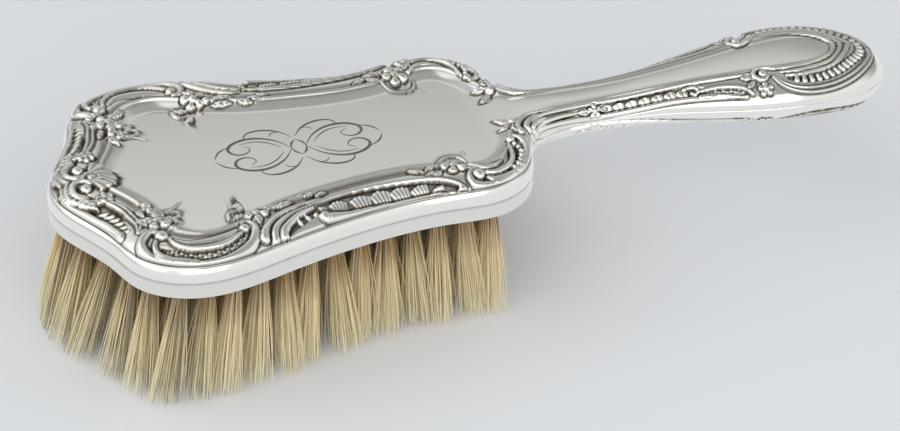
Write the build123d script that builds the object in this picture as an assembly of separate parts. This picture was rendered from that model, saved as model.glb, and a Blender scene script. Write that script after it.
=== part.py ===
from build123d import *
from math import floor
import os

# Silver-backed vanity hairbrush, standing on its bristle tips.
# X runs along the brush from the front of the head to the end of the handle,
# Y across it and Z up. Sizes are in millimetres.

# ---- Head, seen from above: half outline from the front point to the neck ----
head_length = 130.0            # front point to rear end
brow = (5.5, 16.0)             # edge of the projecting middle of the front end
scoop = (10.3, 26.5)           # hollow of the front end, beside the brow
corner_front = (15.3, 38.5)    # where the hollow turns into the wide corner
corner = (29.0, 47.0)          # widest place of the head
quarter = (50.0, 43.0)         # side, behind the wide corner
waist = (head_length - 32.0, 34.3)         # narrowest place of the side
side = ((quarter[0] + waist[0]) / 2, 37.0)
shoulder = (head_length - 16.0, 34.0)      # rear corner
shoulder_back = (head_length - 6.0, 25.0)  # where the rear corner turns in
neck_root = (head_length - 2.0, 13.0)      # rear end beside the neck

# ---- Sunk plain field on the back of the head: half outline ----
field_front = 14.5             # front edge on the middle line
field_brow = (19.3, 11.5)
field_scoop = (22.3, 20.0)
field_corner_front = (25.8, 29.5)
field_corner = (35.0, 34.0)
field_quarter = (50.0, 28.4)
field_side = (side[0], 22.7)
field_waist = (head_length - 32.0, 22.2)
field_shoulder = (head_length - 17.5, 25.4)
field_back = (head_length - 10.8, 19.5)
field_neck = (head_length - 7.0, 11.0)
field_rear = head_length - 5.0             # rear edge on the middle line

# ---- Heights of the head ----
bristle_reach = 32.0           # bristles below the skirt
skirt_height = 12.0            # lower edge of the skirt to the top of the border
field_depth = 1.5              # field below the top of the border
border_round = 4.0             # rounding of the border's outer edge
silver_wall = 0.9              # sheet silver of the skirt
relief_wall = 1.8              # sheet silver with the depth of its stamped relief

# ---- Handle ----
handle_end = 240.0             # front point of the head to the end of the handle
neck_x = head_length + 18.0    # narrowest place of the handle
neck_half_width = 7.8
neck_half_thickness = 5.8
neck_height = 6.6              # middle of the neck above the lower edge of the skirt
root_x = head_length - 10.0    # where the handle starts, inside the head
root_half_width = 17.5
bulb_x = handle_end - 29.0     # widest place of the handle
bulb_half_width = 18.8
bulb_half_thickness = 8.2
end_half_width = 2.6           # small rounded end
end_half_thickness = 2.6
end_droop = 3.4                # middle of the end below the neck's middle
end_roundness = 1.75           # exponent of the curve that rounds the end
handle_wall = 1.4              # sheet silver with the depth of its chasing
panel_depth = 0.4              # plain panel on the handle, below its reeds
panel_front = neck_x + 5.0
panel_back = bulb_x + 13.5
panel_neck_half_width = 2.6
panel_half_width = 6.7

# ---- Stamped ornament of the border: x, y and level below the top of the border ----
# Each line stands for one reed or scroll of the +Y side, with the radius of its round section.
tail = head_length - 130.0     # ornament of the rear corner keeps its place on a longer head
scrolls = {
    "corner_scroll": (1.2, [(19.6, 30.5, 0.2), (16.4, 32.8, 0.4), (15.9, 36.4, 0.6), (18.6, 40.8, 1.0),
                            (24.8, 44.3, 1.3), (31.1, 45.3, 1.4), (37.5, 43.8, 1.2), (42.4, 41.2, 1.0),
                            (44.6, 37.6, 0.5), (43.6, 34.5, 0.2)]),
    "corner_reed": (0.8, [(23.0, 35.4, 0.1), (25.4, 39.5, 0.2), (32.0, 41.6, 0.4), (38.0, 40.4, 0.3),
                          (41.5, 38.2, 0.2)]),
    "flank_reed": (1.0, [(60.5, 31.0, 0.3), (54.0, 33.2, 0.3), (49.7, 36.8, 0.3), (47.2, 40.2, 0.6)]),
    "side_reed": (0.8, [(62.0, 31.2, 0.1), (70.0, 29.2, 0.1), (80.0, 28.4, 0.1), (tail + 90.2, 28.6, 0.1),
                        (tail + 97.2, 29.9, 0.1), (tail + 102.4, 32.6, 0.3)]),
    "edge_reed": (0.8, [(64.6, 36.0, 0.6), (75.9, 34.3, 0.6), (tail + 86.3, 33.2, 0.5),
                        (tail + 96.0, 32.7, 0.5)]),
    "shoulder_scroll": (1.0, [(tail + 107.6, 29.4, 0.3), (tail + 106.2, 31.0, 0.5), (tail + 107.6, 32.6, 0.8),
                              (tail + 111.6, 32.7, 1.0), (tail + 116.4, 30.9, 1.0), (tail + 120.4, 27.6, 1.0),
                              (tail + 123.2, 23.0, 1.0), (tail + 124.2, 19.6, 0.9),
                              (tail + 122.8, 16.8, 0.6)]),
    "shoulder_reed": (0.8, [(tail + 110.6, 29.0, 0.2), (tail + 115.2, 28.8, 0.3), (tail + 118.4, 26.0, 0.3),
                            (tail + 119.8, 22.4, 0.3), (tail + 120.4, 19.2, 0.3)]),
}
front_reed = [(10.8, 25.5, 0.7), (8.9, 20.5, 0.7), (5.5, 13.2, 0.8), (3.2, 7.0, 0.9)]
front_reed_radius = 1.0
front_reed_x = 2.6             # where it crosses the middle line
flowers = [(22.0, 26.2, 3.6), (47.0, 30.8, 3.4), (tail + 103.2, 25.3, 3.5), (12.2, 10.6, 2.4),
           (22.4, 20.9, 2.2)]
eyes = [(21.2, 33.2, 1.9), (42.3, 36.6, 1.6), (tail + 108.3, 31.0, 1.7), (tail + 121.6, 17.6, 1.3),
        (tail + 123.6, 9.1, 1.4), (8.3, 4.7, 1.75)]
flower_height = 1.2            # flowers, eyes, lobes and the shell as low domes
eye_height = 1.2
dome_root = 1.6                # domes let into the silver below the top of the border
lobe_radius = 2.2              # shell lobes of the side panel
lobe_height = 0.6
lobes = [(69.2, 32.6), (75.5, 32.2), (81.0, 31.6), (tail + 86.4, 31.2), (tail + 91.8, 31.1)]
shell_place = (13.4, 0.0)      # shell on the middle of the front
shell_radius = 4.2
shell_height = 1.3

# ---- Bristle block and its bristles ----
block_thickness = 7.0
block_recess = 0.6             # block above the lower edge of the skirt
block_clearance = 0.2          # between the block's edge and the silver
tuft_pitch = 7.4               # along the brush
rows_each_side = 5             # rows beside the middle one
outer_row_inset = 5.4          # outer rows inside the long sides of the skirt
end_row_inset = 5.2            # first and last tufts inside its ends
hole_diameter = 3.9
hole_depth = 5.0
root_clearance = 0.05          # between a tuft's root and its hole
draw_hole_diameter = 1.4       # narrow hole that the wire draws a tuft through
wire_diameter = 0.6
wire_groove = 0.8              # width and depth of the groove that the wire lies in
wire_loop_depth = 1.6          # wire loop into the root of a tuft
wire_loop_diameter = 0.5
tuft_tip_diameter = 5.6
spread_along = 1.13            # tips stand this much wider than the holes
spread_across = 1.06

# ---- Stiffening rod through the neck ----
rod_diameter = 3.2
rod_socket = 8.0               # front end let into the block
rod_reach = 44.0               # rod behind the narrowest place of the neck

# ---- Levels above the bristle tips ----
skirt_z = bristle_reach
border_z = skirt_z + skirt_height
field_z = border_z - field_depth
block_bottom_z = skirt_z + block_recess
block_top_z = block_bottom_z + block_thickness
neck_z = skirt_z + neck_height
hole_top_z = block_bottom_z + hole_depth
root_diameter = hole_diameter - 2 * root_clearance
wire_z = block_top_z - wire_groove + wire_diameter / 2

head_half = [brow, scoop, corner_front, corner, quarter, side, waist, shoulder, shoulder_back, neck_root]
field_half = [field_brow, field_scoop, field_corner_front, field_corner, field_quarter]
field_half += [field_side, field_waist, field_shoulder, field_back, field_neck]


def half_outline(front, half, rear):
    """Smooth half outline on the +Y side, square to the middle line at both ends."""
    return Spline((front, 0), *half, (rear, 0), tangents=((0, 1), (0, -1)))


def inset_half(path, inset, steps=36):
    """Half outline that runs an even distance inside another one."""
    points = []
    for i in range(steps + 1):
        along = path % (i / steps)
        points.append(path @ (i / steps) + Vector(along.Y, -along.X) * inset)
    return Spline(*points, tangents=((0, 1), (0, -1)))


def outline(path):
    """Face inside a half outline and its mirror image."""
    return make_face([path, mirror(path, Plane.XZ)])


def slab(face, bottom, top):
    """Upright prism of a flat face between two levels."""
    return extrude(Pos(0, 0, bottom) * face, top - bottom)


def rounded_slab(face, bottom, top, radius):
    """Upright prism with a rounded top edge."""
    solid = slab(face, bottom, top)
    return fillet(solid.faces().sort_by(Axis.Z)[-1].edges(), radius)


def smooth_step(t):
    return t * t * (3 - 2 * t)


def handle_size(x):
    """Half width, half thickness and middle level of the handle at x."""
    if x < neck_x:
        t = ((neck_x - x) / (neck_x - root_x)) ** 2.2
        return neck_half_width + (root_half_width - neck_half_width) * t, neck_half_thickness, neck_z
    if x < bulb_x:
        t = smooth_step((x - neck_x) / (bulb_x - neck_x))
        width = neck_half_width + (bulb_half_width - neck_half_width) * t
        return width, neck_half_thickness + (bulb_half_thickness - neck_half_thickness) * t, neck_z
    t = (x - bulb_x) / (handle_end - bulb_x)
    bulge = (1 - t ** end_roundness) ** (1 / end_roundness)
    width = end_half_width + (bulb_half_width - end_half_width) * bulge
    thickness = end_half_thickness + (bulb_half_thickness - end_half_thickness) * bulge ** 0.8
    return width, thickness, neck_z - end_droop * t


def handle_body(inset=0):
    """Handle as a loft through oval sections, all smaller by the inset."""
    to_neck = [root_x + (neck_x - root_x) * i / 4 for i in range(4)]
    to_bulb = [neck_x + (bulb_x - neck_x) * i / 5 for i in range(5)]
    to_end = [bulb_x + (handle_end - bulb_x) * t for t in (0, 0.35, 0.65, 0.86, 0.96, 1)]
    sections = []
    for x in to_neck + to_bulb + to_end:
        width, thickness, middle = handle_size(x)
        inwards = inset * max(0, (x - bulb_x) / (handle_end - bulb_x)) ** 2
        place = Plane((x - inwards, 0, middle), x_dir=(0, 1, 0), z_dir=(1, 0, 0))
        sections.append(place * Ellipse(width - inset, thickness - inset))
    return loft(sections)


def bar(points, radius):
    """Round bar along a smooth line through the points."""
    path = Spline(*points)
    return sweep(Plane(path @ 0, z_dir=path % 0) * Circle(radius), path)


def cap(x, y, radius, height):
    """Low dome on the border, let a little into the silver."""
    ball = (radius ** 2 + height ** 2) / (2 * height)
    whole = Pos(x, y, border_z + height - ball) * Sphere(ball)
    above = Box(4 * ball, 4 * ball, 2 * ball, align=(Align.CENTER, Align.CENTER, Align.MIN))
    return whole & Pos(x, y, border_z - dome_root) * above


# ---- Outer form and inner room of the silver ----
rim = half_outline(0, head_half, head_length)
field_edge = half_outline(field_front, field_half, field_rear)
inner_rim = inset_half(rim, silver_wall)
upper_rim = inset_half(rim, silver_wall + border_round)
head_body = rounded_slab(outline(rim), skirt_z, border_z, border_round)
head_room = slab(outline(inner_rim), skirt_z, border_z - border_round)
head_room += slab(outline(upper_rim), border_z - border_round, border_z - relief_wall)
head_room -= slab(outline(inset_half(field_edge, -relief_wall)), field_z - silver_wall, border_z)
field_pocket = slab(outline(field_edge), field_z, border_z + 1)

handle_solid = handle_body()
handle_room = handle_body(handle_wall)
panel_half = [(panel_front + panel_neck_half_width, panel_neck_half_width), (bulb_x, panel_half_width)]
panel_edge = half_outline(panel_front, panel_half, panel_back)
panel_cut = slab(outline(panel_edge), neck_z, border_z + bulb_half_thickness) - handle_body(panel_depth)

# Stamped ornament: the +Y side and its mirror image
ornament = []
for side_sign in (1, -1):
    for radius, points in scrolls.values():
        ornament.append(bar([(x, side_sign * y, border_z - below) for x, y, below in points], radius))
    for x, y, radius in flowers:
        ornament.append(cap(x, side_sign * y, radius, flower_height))
    for x, y, radius in eyes:
        ornament.append(cap(x, side_sign * y, radius, eye_height))
    for x, y in lobes:
        ornament.append(cap(x, side_sign * y, lobe_radius, lobe_height))
front_half = [(x, y, border_z - below) for x, y, below in front_reed]
front_middle = (front_reed_x, 0, front_half[-1][2])
front_whole = front_half + [front_middle] + [(x, -y, z) for x, y, z in reversed(front_half)]
ornament.append(bar(front_whole, front_reed_radius))
ornament.append(cap(*shell_place, shell_radius, shell_height))

room = head_room + handle_room
shell = head_body + handle_solid - field_pocket - panel_cut
shell = shell + ornament - room
beyond = 2 * handle_end
beyond_head = Box(beyond, beyond, beyond, align=(Align.MIN, Align.CENTER, Align.CENTER))
behind_head = Pos(head_length - silver_wall, 0, 0) * beyond_head
below_seam = Pos(head_length, 0, neck_z - beyond / 2) * beyond_head


def rim_half_width(x):
    """Half width of the skirt at x."""
    low, high = 0, 1
    while high - low > 1e-6:
        t = (low + high) / 2
        if (rim @ t).X < x:
            low = t
        else:
            high = t
    return (rim @ low).Y


def row_place(row, x):
    """Distance of a row of tufts from the middle line at x."""
    widest = rim_half_width(max(x, corner[0])) - outer_row_inset
    return widest * row / rows_each_side


def row_tufts(row):
    """Hole centres of one row, from the front to the rear."""
    x = 0
    while rim_half_width(x) < abs(row_place(row, x)):
        x += 0.05
    x += end_row_inset
    last = shoulder_back[0] - end_row_inset - hole_diameter
    count = floor((last - x) / tuft_pitch) + 1
    return [(x + i * tuft_pitch, row_place(row, x + i * tuft_pitch)) for i in range(count)]


def rod_between(x, y, bottom, top, diameter):
    """Upright round rod or hole."""
    standing = (Align.CENTER, Align.CENTER, Align.MIN)
    return Pos(x, y, bottom) * Cylinder(diameter / 2, top - bottom, align=standing)


def tuft(x, y):
    """Bristle tuft: a root in its hole, spreading and leaning outwards to a flat trimmed end."""
    middle = (end_row_inset + shoulder_back[0]) / 2
    tip = (middle + (x - middle) * spread_along, y * spread_across)
    foot = Pos(*tip, 0) * Circle(tuft_tip_diameter / 2)
    mouth = Pos(x, y, block_bottom_z) * Circle(root_diameter / 2)
    root = rod_between(x, y, block_bottom_z, hole_top_z, root_diameter)
    loop = rod_between(x, y, hole_top_z - wire_loop_depth, hole_top_z, wire_loop_diameter)
    return loft([foot, mouth]) + root - loop


def along_row(tufts, section):
    """Square or round section swept over the hole centres of a row, a little past both ends."""
    (first_x, first_y), (last_x, last_y) = tufts[0], tufts[-1]
    points = [(first_x - draw_hole_diameter, first_y)] + tufts + [(last_x + draw_hole_diameter, last_y)]
    path = Polyline(*[(x, y, wire_z) for x, y in points])
    return sweep(Plane(path @ 0, z_dir=path % 0) * section, path, transition=Transition.RIGHT)


def draw_wire(tufts):
    """Wire along a row, with a loop down into the root of each tuft."""
    loops = [rod_between(x, y, hole_top_z - wire_loop_depth, wire_z, wire_loop_diameter) for x, y in tufts]
    return along_row(tufts, Circle(wire_diameter / 2)) + loops


rows = {}
for row in range(-rows_each_side, rows_each_side + 1):
    rows[row + rows_each_side + 1] = row_tufts(row)

# ---- Block of wood, drilled for the tufts ----
block_rim = inset_half(rim, silver_wall + block_clearance)
block = slab(outline(block_rim), block_bottom_z, block_top_z)
holes = []
for tufts in rows.values():
    holes += [rod_between(x, y, block_bottom_z, hole_top_z, hole_diameter) for x, y in tufts]
    holes += [rod_between(x, y, hole_top_z, block_top_z, draw_hole_diameter) for x, y in tufts]
    holes.append(along_row(tufts, Rectangle(wire_groove, 2 * wire_groove - wire_diameter)))
block -= holes

# ---- Rod and fillings ----
rod_front = head_length - silver_wall - block_clearance - rod_socket
rod_place = Plane((rod_front, 0, neck_z), z_dir=(1, 0, 0))
rod = extrude(rod_place * Circle(rod_diameter / 2), neck_x + rod_reach - rod_front)
block -= rod
head_filling = (slab(outline(inner_rim), block_top_z, border_z) & head_room) - rod
handle_filling = (handle_room & behind_head) - rod

parts = {
    "silver_back": shell - below_seam,
    "handle_under_shell": shell & below_seam,
    "head_filling": head_filling,
    "handle_filling": handle_filling,
    "stiffening_rod": rod,
    "bristle_block": block,
}
for number, tufts in rows.items():
    parts[f"bristle_row_{number:02d}"] = Compound([tuft(x, y).solid() for x, y in tufts])
    parts[f"draw_wire_{number:02d}"] = draw_wire(tufts)

# ---- Origin: middle of the whole brush, on the bristle tips ----
boxes = [piece.bounding_box() for piece in parts.values()]
centre_x = (min(box.min.X for box in boxes) + max(box.max.X for box in boxes)) / 2
os.makedirs("parts", exist_ok=True)
for name, piece in parts.items():
    export_step(Compound([Pos(-centre_x, 0, 0) * solid for solid in piece.solids()]), f"parts/{name}.step")
print("middle of the brush behind its front point:", round(centre_x, 3))
print("tufts:", sum(map(len, rows.values())))
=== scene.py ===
import bpy
import math
import numpy as np
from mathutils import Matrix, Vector


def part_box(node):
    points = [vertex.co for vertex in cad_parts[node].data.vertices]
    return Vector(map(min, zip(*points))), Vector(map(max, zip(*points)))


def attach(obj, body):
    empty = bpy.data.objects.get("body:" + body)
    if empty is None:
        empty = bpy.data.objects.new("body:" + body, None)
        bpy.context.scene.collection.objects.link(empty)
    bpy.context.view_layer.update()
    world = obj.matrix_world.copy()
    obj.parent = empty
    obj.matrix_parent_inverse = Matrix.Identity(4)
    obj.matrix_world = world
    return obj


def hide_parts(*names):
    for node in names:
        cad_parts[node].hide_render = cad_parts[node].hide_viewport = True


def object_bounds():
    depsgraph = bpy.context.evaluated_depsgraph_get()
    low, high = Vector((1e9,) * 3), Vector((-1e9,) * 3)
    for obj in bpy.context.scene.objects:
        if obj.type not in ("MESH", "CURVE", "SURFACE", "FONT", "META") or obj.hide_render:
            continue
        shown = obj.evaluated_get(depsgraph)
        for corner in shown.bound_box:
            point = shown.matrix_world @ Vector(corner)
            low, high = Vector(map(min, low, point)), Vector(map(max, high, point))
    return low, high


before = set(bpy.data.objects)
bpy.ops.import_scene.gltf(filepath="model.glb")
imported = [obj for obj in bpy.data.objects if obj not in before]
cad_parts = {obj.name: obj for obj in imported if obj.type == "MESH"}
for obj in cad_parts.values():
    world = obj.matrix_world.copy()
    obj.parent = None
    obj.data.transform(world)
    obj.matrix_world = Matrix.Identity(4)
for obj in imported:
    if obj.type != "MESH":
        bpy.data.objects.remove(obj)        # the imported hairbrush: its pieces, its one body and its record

cadBox = [list(corner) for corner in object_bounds()]

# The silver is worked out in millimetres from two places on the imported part:
# x runs back from the front point of the head, z up from the top of the border.
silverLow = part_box("silver_back")[0]
silverDepth = 12.0      # from the lowest edge of the silver to the top of its border
frontX = silverLow[0] * 1000
borderZ = silverLow[2] * 1000 + silverDepth


def toFrame(points):        # silver's millimetres to the frame's metres
    points = np.asarray(points, float)
    return (points + np.array([frontX, 0.0, borderZ])) * 0.001


def smooth(t):
    t = np.clip(t, 0, 1)
    return t * t * (3 - 2 * t)


def bump(t):        # 1 in the middle, 0 from 1 outwards
    t = np.clip(np.abs(t), 0, 1)
    return (1 - t * t) ** 2


def smoothLine(points, spacing=0.25, count=None):
    # natural cubic through the points, resampled evenly along its length
    points = np.asarray(points, float)
    if len(points) == 2:
        curve = points[0] + (points[1] - points[0]) * np.linspace(0, 1, 60)[:, None]
    else:
        knots = np.concatenate([[0], np.cumsum(np.linalg.norm(np.diff(points, axis=0), axis=1) ** 0.5)])
        gap = np.diff(knots)
        n = len(points)
        matrix = np.zeros((n, n))
        right = np.zeros(points.shape)
        for i in range(1, n - 1):
            matrix[i, i - 1:i + 2] = gap[i - 1], 2 * (gap[i - 1] + gap[i]), gap[i]
            right[i] = 6 * ((points[i + 1] - points[i]) / gap[i] - (points[i] - points[i - 1]) / gap[i - 1])
        matrix[0, 0] = matrix[-1, -1] = 1
        second = np.linalg.solve(matrix, right)
        fine = np.linspace(0, knots[-1], 40 * n)
        k = np.clip(np.searchsorted(knots, fine, side="right") - 1, 0, n - 2)
        a, b, h = (knots[k + 1] - fine)[:, None], (fine - knots[k])[:, None], gap[k][:, None]
        curve = (second[k] * a ** 3 + second[k + 1] * b ** 3) / (6 * h)
        curve = curve + (points[k] / h - second[k] * h / 6) * a
        curve = curve + (points[k + 1] / h - second[k + 1] * h / 6) * b
    length = np.concatenate([[0], np.cumsum(np.linalg.norm(np.diff(curve, axis=0), axis=1))])
    total = length[-1]
    steps = count if count else max(3, int(total / spacing) + 1)
    even = np.linspace(0, total, steps)
    return np.stack([np.interp(even, length, curve[:, c]) for c in range(curve.shape[1])], 1)


# form of the silver: paired points on the outer edge and on the edge of the plain field
form = {
    "outer": [(-0.9, 0), (4.5, 16.3), (9.3, 27.0), (14.2, 39.0), (28.8, 47.03), (50.4, 43.4), (73, 37.4),
              (98, 34.9),
              (114.6, 34.6), (125.4, 26.0), (129.2, 14.8), (135.5, 9.4), (147, 7.8), (160, 8.6), (173, 10.9),
              (186, 14.3), (199, 17.5), (211, 18.7), (222, 17.4), (231, 13.2), (237, 7.6), (240, 0)],
    "field": [(14.5, 0), (19.3, 11.5), (22.3, 20), (25.8, 29.5), (35, 34), (50, 28.4), (72.5, 22.7),
              (98, 22.2),
              (112.5, 25.4), (119.2, 19.5), (123, 11.5), (130, 6), (146, 3.9), (160, 3.7), (173, 4.2),
              (186, 5.3), (199, 6.8), (208, 7.5), (215, 7.2), (220, 5.4), (222.8, 2.9), (223.6, 0)],
    "columns": 1400, "rows": 80, "fieldRows": 6, "margin": 10.5,
    # rows start at this share of the way to the middle line, but at the full margin in the first and
    # last few columns, and lie wider apart in the field
    "inwards": 0.8, "tips": 5, "fieldFrom": -1.5, "fieldWeight": 0.55,
    "fieldDepth": 1.8, "fieldCrown": 0.35, "crownHalf": 26, "coveFrom": -3.2, "coveTo": 1.1, "coveCurve": 1.7,
    "domeDrop": 6.0, "domeStart": 0.45,
    # in x: start of the handle's girths, how far the head's and the handle's ornament may go,
    # and where the head turns into the handle and the field into its panel
    "girthFrom": 112, "headUntil": 137, "handleFrom": 126, "blend": (119, 138), "panel": (116, 146),
    "handleX": [120, 140, 148, 160, 170, 180, 190, 200, 210, 220, 228, 232, 235, 237, 238.6, 239.5, 240],
    "handleThick": [5.7, 5.6, 5.4, 5.5, 5.9, 6.5, 7.1, 7.65, 7.95, 8.0, 7.7, 7.0, 6.0, 4.9, 3.5, 2.0, 0.0],
    "handleMiddle": [-5.4, -5.4, -5.4, -5.5, -5.4, -5.4, -5.4, -5.4, -5.5, -6.1, -7.1, -7.6, -8.0, -8.4,
                     -8.7, -8.9, -9.0],
    "panelDepth": 0.55, "panelCoveFrom": -1.2, "panelCoveTo": 0.5, "ovalness": 2.3,
    # the skirt's inset in mm and share of its drop, down to the lower edge
    "skirt": [(0.0, 0.0), (0.03, 0.08), (0.11, 0.15), (0.23, 0.21), (0.38, 0.265), (0.40, 0.29),
              (0.31, 0.33), (0.26, 0.40),
              (0.24, 0.65), (0.20, 0.90), (0.24, 0.97), (0.42, 1.0), (0.8, 1.0), (0.95, 0.95)],
    "skirtDrop": 6.0, "innerInset": 1.25, "innerLevel": -4.4,
    "meetings": (52.0, 133.0, 196.0),       # where the silver's meshes meet, along the outer edge
    "rimCrease": 3.4, "rimCreaseDepth": 0.38,
}


def pairedOutline(outer, inner, count):
    # both edges as smooth curves square to the middle line, sampled together
    both = np.concatenate([np.array(outer, float), np.array(inner, float)], 1)
    flip = np.array([1, -1, 1, -1.0])
    whole = np.concatenate([both[3:0:-1] * flip, both, both[-2:-5:-1] * flip])
    curve = smoothLine(whole, count=6000)
    first = int(np.argmin(np.linalg.norm(curve - both[0], axis=1)))
    last = int(np.argmin(np.linalg.norm(curve - both[-1], axis=1)))
    half = curve[first:last + 1]
    half[0, [1, 3]] = half[-1, [1, 3]] = 0
    half[0, [0, 2]] = both[0, [0, 2]]
    half[-1, [0, 2]] = both[-1, [0, 2]]
    length = np.concatenate([[0], np.cumsum(np.linalg.norm(np.diff(half, axis=0), axis=1))])
    even = np.linspace(0, length[-1], count)
    return np.stack([np.interp(even, length, half[:, c]) for c in range(4)], 1)


edges = pairedOutline(form["outer"], form["field"], form["columns"])
outerLine, fieldLine = edges[:, :2], edges[:, 2:]
across = outerLine - fieldLine
bandWidth = np.linalg.norm(across, axis=1)
outward = across / bandWidth[:, None]
blendFrom, blendTo = form["blend"]      # onHandle is 0 on the head and 1 on the handle
onHandle = smooth((edges[:, 0] + edges[:, 2] - 2 * blendFrom) / (2 * blendTo - 2 * blendFrom))
handleTable = np.column_stack([form["handleX"], form["handleThick"], form["handleMiddle"]])
handleSpine = smoothLine(handleTable, count=900)
handleSpine[:, 0] = np.maximum.accumulate(handleSpine[:, 0])


def handleSection(x):       # half width, half thickness and middle level at x
    width = np.interp(x, outerLine[:, 0], outerLine[:, 1])
    thick = np.interp(x, handleSpine[:, 0], handleSpine[:, 1])
    middle = np.interp(x, handleSpine[:, 0], handleSpine[:, 2])
    return np.maximum(width, 0.02), np.maximum(thick, 0), middle


def handleTop(x, y):
    width, thick, middle = handleSection(x)
    share = np.clip(np.abs(y) / width, 0, 1)
    return middle + thick * (1 - share ** form["ovalness"]) ** (1 / form["ovalness"])


def panelShare(x):      # how far the plain field has turned into the handle's panel
    return smooth((x - form["panel"][0]) / (form["panel"][1] - form["panel"][0]))


def fieldHeight(y):     # plain field of the head, a little crowned
    return -form["fieldDepth"] + form["fieldCrown"] * (1 - (y / form["crownHalf"]) ** 2)


def baseHeight(x, y, s, width, k):
    # level of the silver before its ornament: s is the distance outwards from the field's edge
    t = np.clip((s / width - form["domeStart"]) / (1 - form["domeStart"]), 0, 1)
    head = -form["domeDrop"] * (1 - np.sqrt(1 - t * t))
    top = handleTop(x, y)
    border = (1 - k) * head + k * top
    panel = panelShare(x)
    field = (1 - panel) * fieldHeight(y) + panel * (top - form["panelDepth"])
    low = form["coveFrom"] + (form["panelCoveFrom"] - form["coveFrom"]) * k
    high = form["coveTo"] + (form["panelCoveTo"] - form["coveTo"]) * k
    rise = np.clip((s - low) / (high - low), 0, 1) ** form["coveCurve"]
    return field + (border - field) * (rise + 0.25 * rise * (1 - rise))


def columnLevels():
    # rows of each column, evenly along the curved section, closer over the border than in the field
    spots = np.zeros((form["columns"], form["rows"]))
    quarterTurn = np.sin(np.linspace(0, math.pi / 2, 160))
    for i in range(form["columns"]):
        inwards = form["margin"]
        if form["tips"] <= i < form["columns"] - form["tips"]:
            inwards = form["inwards"] * fieldLine[i, 1] / max(abs(outward[i, 1]), 0.05)
            inwards = min(max(inwards, 0.5), form["margin"])
        s = np.concatenate([np.linspace(-inwards, 0, 40)[:-1], bandWidth[i] * quarterTurn])
        spot = fieldLine[i] + outward[i] * s[:, None]
        z = baseHeight(spot[:, 0], spot[:, 1], s, bandWidth[i], onHandle[i])
        step = np.sqrt(np.diff(s) ** 2 + np.diff(z) ** 2)
        step *= np.where(s[1:] < form["fieldFrom"], form["fieldWeight"], 1.0)
        length = np.concatenate([[0], np.cumsum(step)])
        spots[i] = np.interp(np.linspace(0, length[-1], form["rows"]), length, s)
    return spots


rowS = columnLevels()
for _ in range(3):      # rows stay smooth from column to column
    rowS[1:-1] = (rowS[:-2] + 2 * rowS[1:-1] + rowS[2:]) / 4
planXY = fieldLine[:, None, :] + outward[:, None, :] * rowS[:, :, None]
planX, planY = planXY[..., 0], np.maximum(planXY[..., 1], 0)
baseZ = baseHeight(planX, planY, rowS, bandWidth[:, None], onHandle[:, None])
sectionStep = np.hypot(np.diff(rowS, axis=1), np.diff(baseZ, axis=1))
sectionLength = np.concatenate([np.zeros((len(rowS), 1)), np.cumsum(sectionStep, axis=1)], 1)
rimLength = sectionLength[:, -1:] - sectionLength       # over the section, from the rim inwards


def girthTable():       # length round the handle's section from its crown
    xs = np.linspace(form["girthFrom"], form["handleX"][-1], 257)
    shares = np.sin(np.linspace(0, math.pi / 2, 90))
    table = np.zeros((len(xs), len(shares)))
    for i, x in enumerate(xs):
        y = handleSection(x)[0] * shares
        z = handleTop(np.full(len(y), x), y)
        table[i] = np.concatenate([[0], np.cumsum(np.hypot(np.diff(y), np.diff(z)))])
    return xs, shares, table


girthX, girthShare, girths = girthTable()


def aroundHandle(x, y):     # distance round the section from the crown
    width = handleSection(x)[0]
    row = np.clip((x - girthX[0]) / (girthX[1] - girthX[0]), 0, len(girthX) - 1.001)
    low = row.astype(int)
    share = np.clip(y / width, 0, 1)
    place = np.clip(np.interp(share, girthShare, np.arange(len(girthShare))), 0, len(girthShare) - 1.001)
    col = place.astype(int)
    fx, fy = row - low, place - col
    near = girths[low, col] * (1 - fy) + girths[low, col + 1] * fy
    far = girths[low + 1, col] * (1 - fy) + girths[low + 1, col + 1] * fy
    return near * (1 - fx) + far * fx


aroundY = aroundHandle(planX, planY)
flat = {"head": (planX, planY), "handle": (planX, aroundY)}
allowed = {"head": planX < form["headUntil"], "handle": planX > form["handleFrom"]}
height = np.zeros_like(planX)       # of the ornament above the plain level
chaseWidth = 0.55       # of the fine line chased round each shape
strokeStep = 0.22       # between the samples of a stroke


def reach(points, pad, where):
    # the grid's places near a line, and its nearest sample for each
    x, y = flat[where]
    low, high = points.min(0) - pad, points.max(0) + pad
    mask = (x > low[0]) & (x < high[0]) & (y > low[1]) & (y < high[1]) & allowed[where]
    px, py = x[mask], y[mask]
    best = np.full(len(px), 1e9)
    index = np.zeros(len(px), int)
    for n, (qx, qy) in enumerate(points):
        d = (px - qx) ** 2 + (py - qy) ** 2
        closer = d < best
        best[closer] = d[closer]
        index[closer] = n
    return mask, np.sqrt(best), index, px, py


def spread(value, count):       # one width, or several along a line
    value = np.atleast_1d(np.array(value, float))
    if len(value) == 1:
        return np.full(count, value[0])
    return np.interp(np.linspace(0, 1, count), np.linspace(0, 1, len(value)), value)


def cutRound(mask, distance, edge, depth):      # fine chased line round a shape
    height[mask] -= np.where(distance > edge, depth * bump((distance - edge) / chaseWidth), 0)


def raiseTo(mask, inside, level):       # the new form shows where it stands higher than what is there
    height[mask] = np.maximum(height[mask], np.where(inside, level, -9))


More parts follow.
